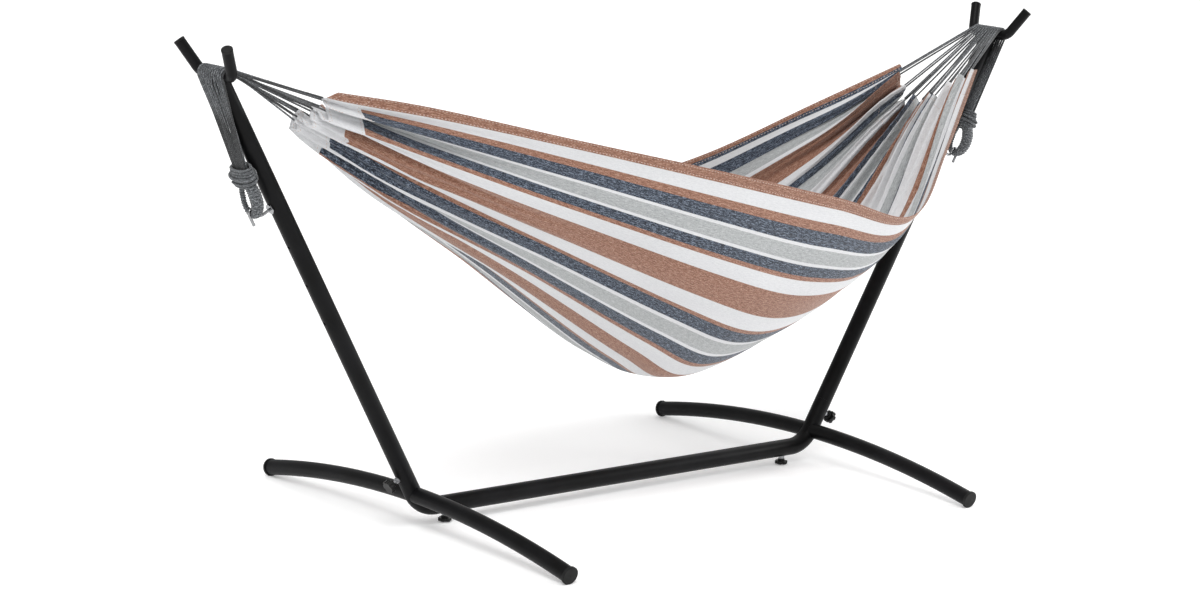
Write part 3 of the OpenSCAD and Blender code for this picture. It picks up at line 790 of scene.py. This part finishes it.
def make_cords(side, word):
    """The suspension cords of one side."""
    made = []
    for pair in range(TONGUES):
        for which in (0, 1):
            line = resample(rounded(cord_line(side, pair, which), 2), 0.002)
            phase = pair * 1.7 + which
            made.append(tube_arrays(line, CORD_R, pitch=0.014, sides=9, depth=0.2, phase=phase))
    # The lower cord of each pair takes the darker rope yarn as painted shade; the upper one takes the
    # plain rope yarn.
    cords = poly_object(f"suspension_cords_{word}", made, [ROPE_PAINTED_SHADE, ROPE], [0, 1] * TONGUES)
    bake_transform(cords)
    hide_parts(f"yoke_ropes_{word}", f"bed_cords_{word}")


def served_tube(line, radius, turn=0.0062, depth=0.0027, sides=24):
    """A bundle with a thin cord wound tightly round it, as points, faces and UVs."""
    side, other = frames_along(line)
    at = np.concatenate([[0], np.cumsum(np.linalg.norm(np.diff(line, axis=0), axis=1))])
    angle = 2 * math.pi * np.arange(sides) / sides
    wound = np.abs(np.sin(math.pi * (at[:, None] / turn + angle[None, :] / (2 * math.pi))))
    wander = 0.0005 * smooth_noise(at[:, None] / 0.012, angle[None, :], 21)
    r = radius[:, None] - depth + depth * wound**0.6 + wander
    rings = (
        line[:, None]
        + (r * np.cos(angle))[..., None] * side[:, None]
        + (r * np.sin(angle))[..., None] * other[:, None]
    )
    uv = np.stack(np.broadcast_arrays(angle[None, :] * radius[:, None], at[:, None]), -1)
    n = len(line) * sides
    faces = [f.tolist() for f in grid_faces(len(line), sides, closed=True)]
    faces += [[n, (k + 1) % sides, k] for k in range(sides)]
    faces += [[n + 1, n - sides + k, n - sides + (k + 1) % sides] for k in range(sides)]
    points = np.concatenate([rings.reshape(-1, 3), line[:1], line[-1:]])
    return points, faces, np.concatenate([uv.reshape(-1, 2), np.zeros((2, 2))])


def make_eye_loop(side, word):
    """The teardrop eye that the hook goes through: a wound loop, thick on the near side."""
    top = WHIP_BASE + 0.010
    centres = [
        (0, -0.014, top), (0, -0.024, top - 0.013), (0, -0.0285, 0.042), (0, -0.028, 0.022),
        (0, -0.019, 0.004), (0, -0.003, -0.0040), (0, 0.013, 0.000), (0, 0.0215, 0.013),
        (0, 0.0225, 0.036), (0, 0.018, top - 0.013), (0, 0.012, top),
    ]
    thick = [0.0135, 0.0145, 0.0150, 0.0145, 0.0120, 0.0090, 0.0075, 0.0066, 0.0064, 0.0064, 0.0064]
    local = rounded(np.array([(*c, t) for c, t in zip(centres, thick)]), 2)
    line = np.array([rope_point(p[:3]) for p in local]) * [-side, 1, 1]
    at = np.concatenate([[0], np.cumsum(np.linalg.norm(np.diff(line, axis=0), axis=1))])
    wanted = np.linspace(0, at[-1], 280)
    columns = np.column_stack([line, local[:, 3]])
    fine = np.stack([np.interp(wanted, at, columns[:, k]) for k in range(4)], 1)
    ring = poly_object(f"eye_loop_{word}", [served_tube(fine[:, :3], fine[:, 3])], [ROPE])
    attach(ring, "stand")
    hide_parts(f"rope_ring_{word}")


# A whipping's cord radius, and its two windings: where each starts as a share of the height,
# how much of it it climbs, its turns, how far it stands out, its tilt and its first angle.
WINDING_R = 0.0033
WINDINGS = ((0.0, 1.0, 7, 0.0, 0.0020, 0.4), (0.30, 0.36, 1.6, 0.0042, 0.0065, 2.6))


def make_whipping(side, word):
    """Turns of thicker cord round the bundle above the eye, and a loose winding across them."""
    parts = []
    for start, climb, count, grow, tilt, phase in WINDINGS:
        steps = int(count * 44)
        angle = 2 * math.pi * count * np.arange(steps + 1) / steps + phase
        share = start + climb * np.arange(steps + 1) / steps
        uneven = smooth_noise(angle / 3.1, np.zeros_like(angle), 38)
        swell = 1 + 0.13 * np.sin(math.pi * share) + 0.035 * uneven
        half_w = (0.0305 + grow) * swell
        half_t = (0.0145 + grow) * swell
        high = WHIP_BASE + 0.001 + WINDING_R + share * 0.045 + tilt * np.sin(angle + 0.8)
        local = np.stack([half_t * np.cos(angle), half_w * np.sin(angle), high], 1)
        line = np.array([rope_point(p) for p in local]) * [-side, 1, 1]
        parts.append(tube_arrays(resample(line, 0.0012), WINDING_R, pitch=0.011, depth=0.22))
    whipping = poly_object(f"whipping_turns_{word}", parts, [ROPE])
    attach(whipping, "stand")
    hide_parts(f"whipping_{word}")


for side, word in ((-1, "left"), (1, "right")):
    make_cords(side, word)
    make_eye_loop(side, word)
    make_whipping(side, word)

# ---------- floor and light ----------


def make_stage():
    reach = 40
    glow = {"Emission_Color": (1, 1, 1, 1), "Emission_Strength": 0.22}
    floor = mesh_object(
        "floor",
        [(-reach, -reach, 0), (reach, -reach, 0), (reach, reach, 0), (-reach, reach, 0)],
        [(0, 1, 2, 3)],
        [Shader("floor", (0.90, 0.90, 0.90), 0.85, **glow).material],
    )
    world = bpy.data.worlds.new("world")
    world.use_nodes = True
    world.node_tree.nodes["Background"].inputs["Color"].default_value = (1, 1, 1, 1)
    world.node_tree.nodes["Background"].inputs["Strength"].default_value = 0.55
    bpy.context.scene.world = world
    for name, toward, strength, spread in (
        ("key", (-0.45, -0.40, 0.80), 1.9, 35),
        ("fill", (0.55, 0.30, 0.78), 0.7, 60),
    ):
        lamp = bpy.data.objects.new(name, bpy.data.lights.new(name, "SUN"))
        lamp.data.energy, lamp.data.angle = strength, math.radians(spread)
        lamp.rotation_euler = Vector(toward).to_track_quat("Z", "Y").to_euler()
        bpy.context.scene.collection.objects.link(lamp)
    strip = bpy.data.objects.new("strip", bpy.data.lights.new("strip", "AREA"))
    strip.data.size, strip.data.energy = 1.2, 60
    strip.location = Vector((4.0, -1.5, 1.4))
    lit = Vector((0.9, 0, 0.6))
    strip.rotation_euler = (strip.location - lit).to_track_quat("Z", "Y").to_euler()
    bpy.context.scene.collection.objects.link(strip)
    bpy.context.scene.view_settings.view_transform = "Standard"


make_stage()
